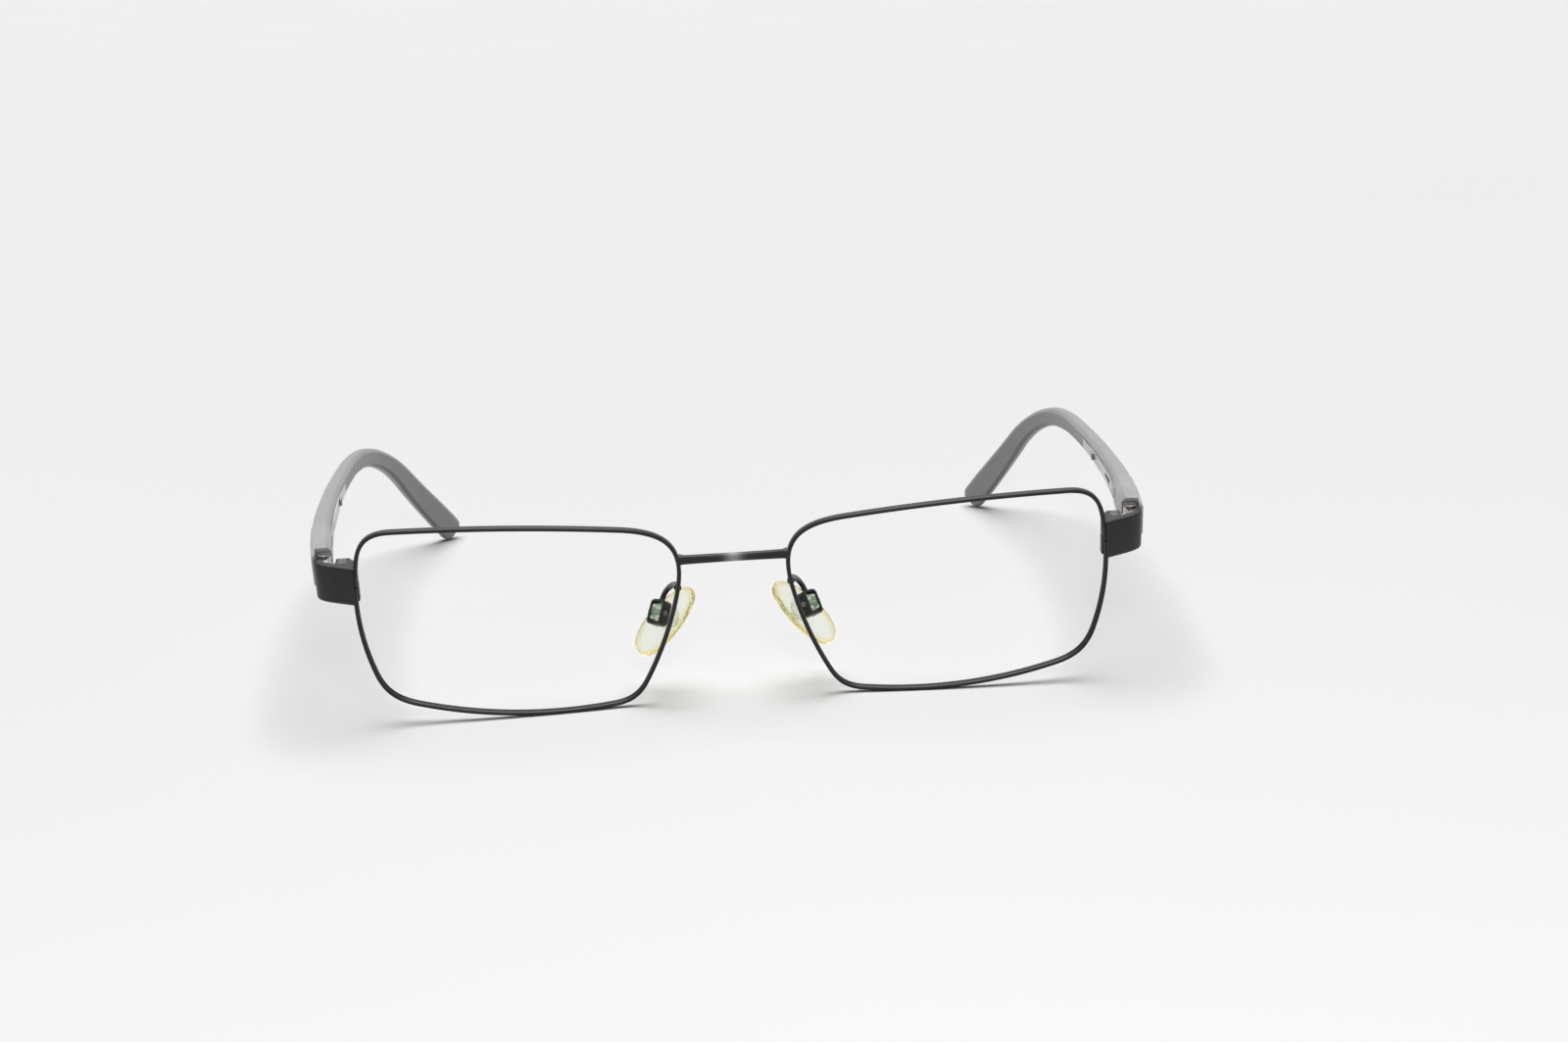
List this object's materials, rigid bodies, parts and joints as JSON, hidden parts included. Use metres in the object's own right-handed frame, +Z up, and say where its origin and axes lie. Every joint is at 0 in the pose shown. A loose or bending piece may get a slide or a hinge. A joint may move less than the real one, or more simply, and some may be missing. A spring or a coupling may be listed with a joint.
{
  "type": "eyeglass frame",
  "caption": "Full-rim metal eyeglass frame without lenses: black wire rims, spring-hinged silver-grey temples with bent plastic ends, clear screw-on nose pads.",
  "frame": {"origin": "middle of the bounding box in plan, at the height of the ground that the rims and temple ends stand on", "axes": "+X towards the wearer's left, +Y from the rims back along the temples, +Z up"},
  "size_m": [0.1526, 0.1282, 0.0353],
  "materials": {
    "black_metal": "satin black plating",
    "silver_metal": "satin silver-grey lacquer",
    "grey_plastic": "satin silver-grey acetate-like plastic",
    "steel": "turned",
    "brass": "turned",
    "clear_plastic": "clear, faintly green",
    "clear_silicone": "clear silicone, yellowed at its edges"
  },
  "bodies": {
    "front": {"bridge": "black_metal", "rim_left": "black_metal", "rim_right": "black_metal", "endpiece_left": "black_metal", "endpiece_right": "black_metal", "closing_block_upper_left": "black_metal", "closing_block_upper_right": "black_metal", "closing_block_lower_left": "black_metal", "closing_block_lower_right": "black_metal", "closing_screw_left": "steel", "closing_screw_right": "steel", "hinge_leaf_left": "steel", "hinge_leaf_right": "steel", "hinge_screw_left": "steel", "hinge_screw_right": "steel", "pad_arm_left": "black_metal", "pad_arm_right": "black_metal", "pad_box_left": "black_metal", "pad_box_right": "black_metal", "pad_screw_left": "steel", "pad_screw_right": "steel"},
    "slider_left": {"hinge_slider_left": "steel", "spring_nut_left": "steel"},
    "temple_left": {"temple_front_left": "silver_metal", "temple_sleeve_left": "grey_plastic", "temple_core_left": "steel", "temple_screw_left": "steel", "slider_bush_left": "brass", "hinge_spring_left": "steel"},
    "pad_left": {"nose_pad_left": "clear_silicone", "pad_insert_left": "clear_plastic"},
    "slider_right": {"hinge_slider_right": "steel", "spring_nut_right": "steel"},
    "temple_right": {"temple_front_right": "silver_metal", "temple_sleeve_right": "grey_plastic", "temple_core_right": "steel", "temple_screw_right": "steel", "slider_bush_right": "brass", "hinge_spring_right": "steel"},
    "pad_right": {"nose_pad_right": "clear_silicone", "pad_insert_right": "clear_plastic"}
  },
  "joints": [
    {"name": "temple_fold_left", "type": "hinge", "parent": "front", "child": "slider_left", "pos_m": [0.0689, -0.05345, 0.02639], "axis": [0, -0.1393, 0.9903], "range_deg": [0, 88]},
    {"name": "spring_slide_left", "type": "slide", "parent": "slider_left", "child": "temple_left", "axis": [0.1562, 0.9875, -0.0208], "range_m": [0, 0.0012], "stiffness_N_per_m": 3000, "springref_m": -0.001},
    {"name": "pad_tilt_left", "type": "hinge", "parent": "front", "child": "pad_left", "pos_m": [0.01306, -0.05217, 0.0149], "axis": [0.7224, 0.6823, -0.1127], "range_deg": [-5, 5]},
    {"name": "temple_fold_right", "type": "hinge", "parent": "front", "child": "slider_right", "pos_m": [-0.0689, -0.05345, 0.02639], "axis": [0, 0.1393, -0.9903], "range_deg": [0, 82]},
    {"name": "spring_slide_right", "type": "slide", "parent": "slider_right", "child": "temple_right", "axis": [-0.1562, 0.9875, -0.0208], "range_m": [0, 0.0012], "stiffness_N_per_m": 3000, "springref_m": -0.001},
    {"name": "pad_tilt_right", "type": "hinge", "parent": "front", "child": "pad_right", "pos_m": [-0.01306, -0.05217, 0.0149], "axis": [-0.7224, 0.6823, -0.1127], "range_deg": [-5, 5]}
  ]
}
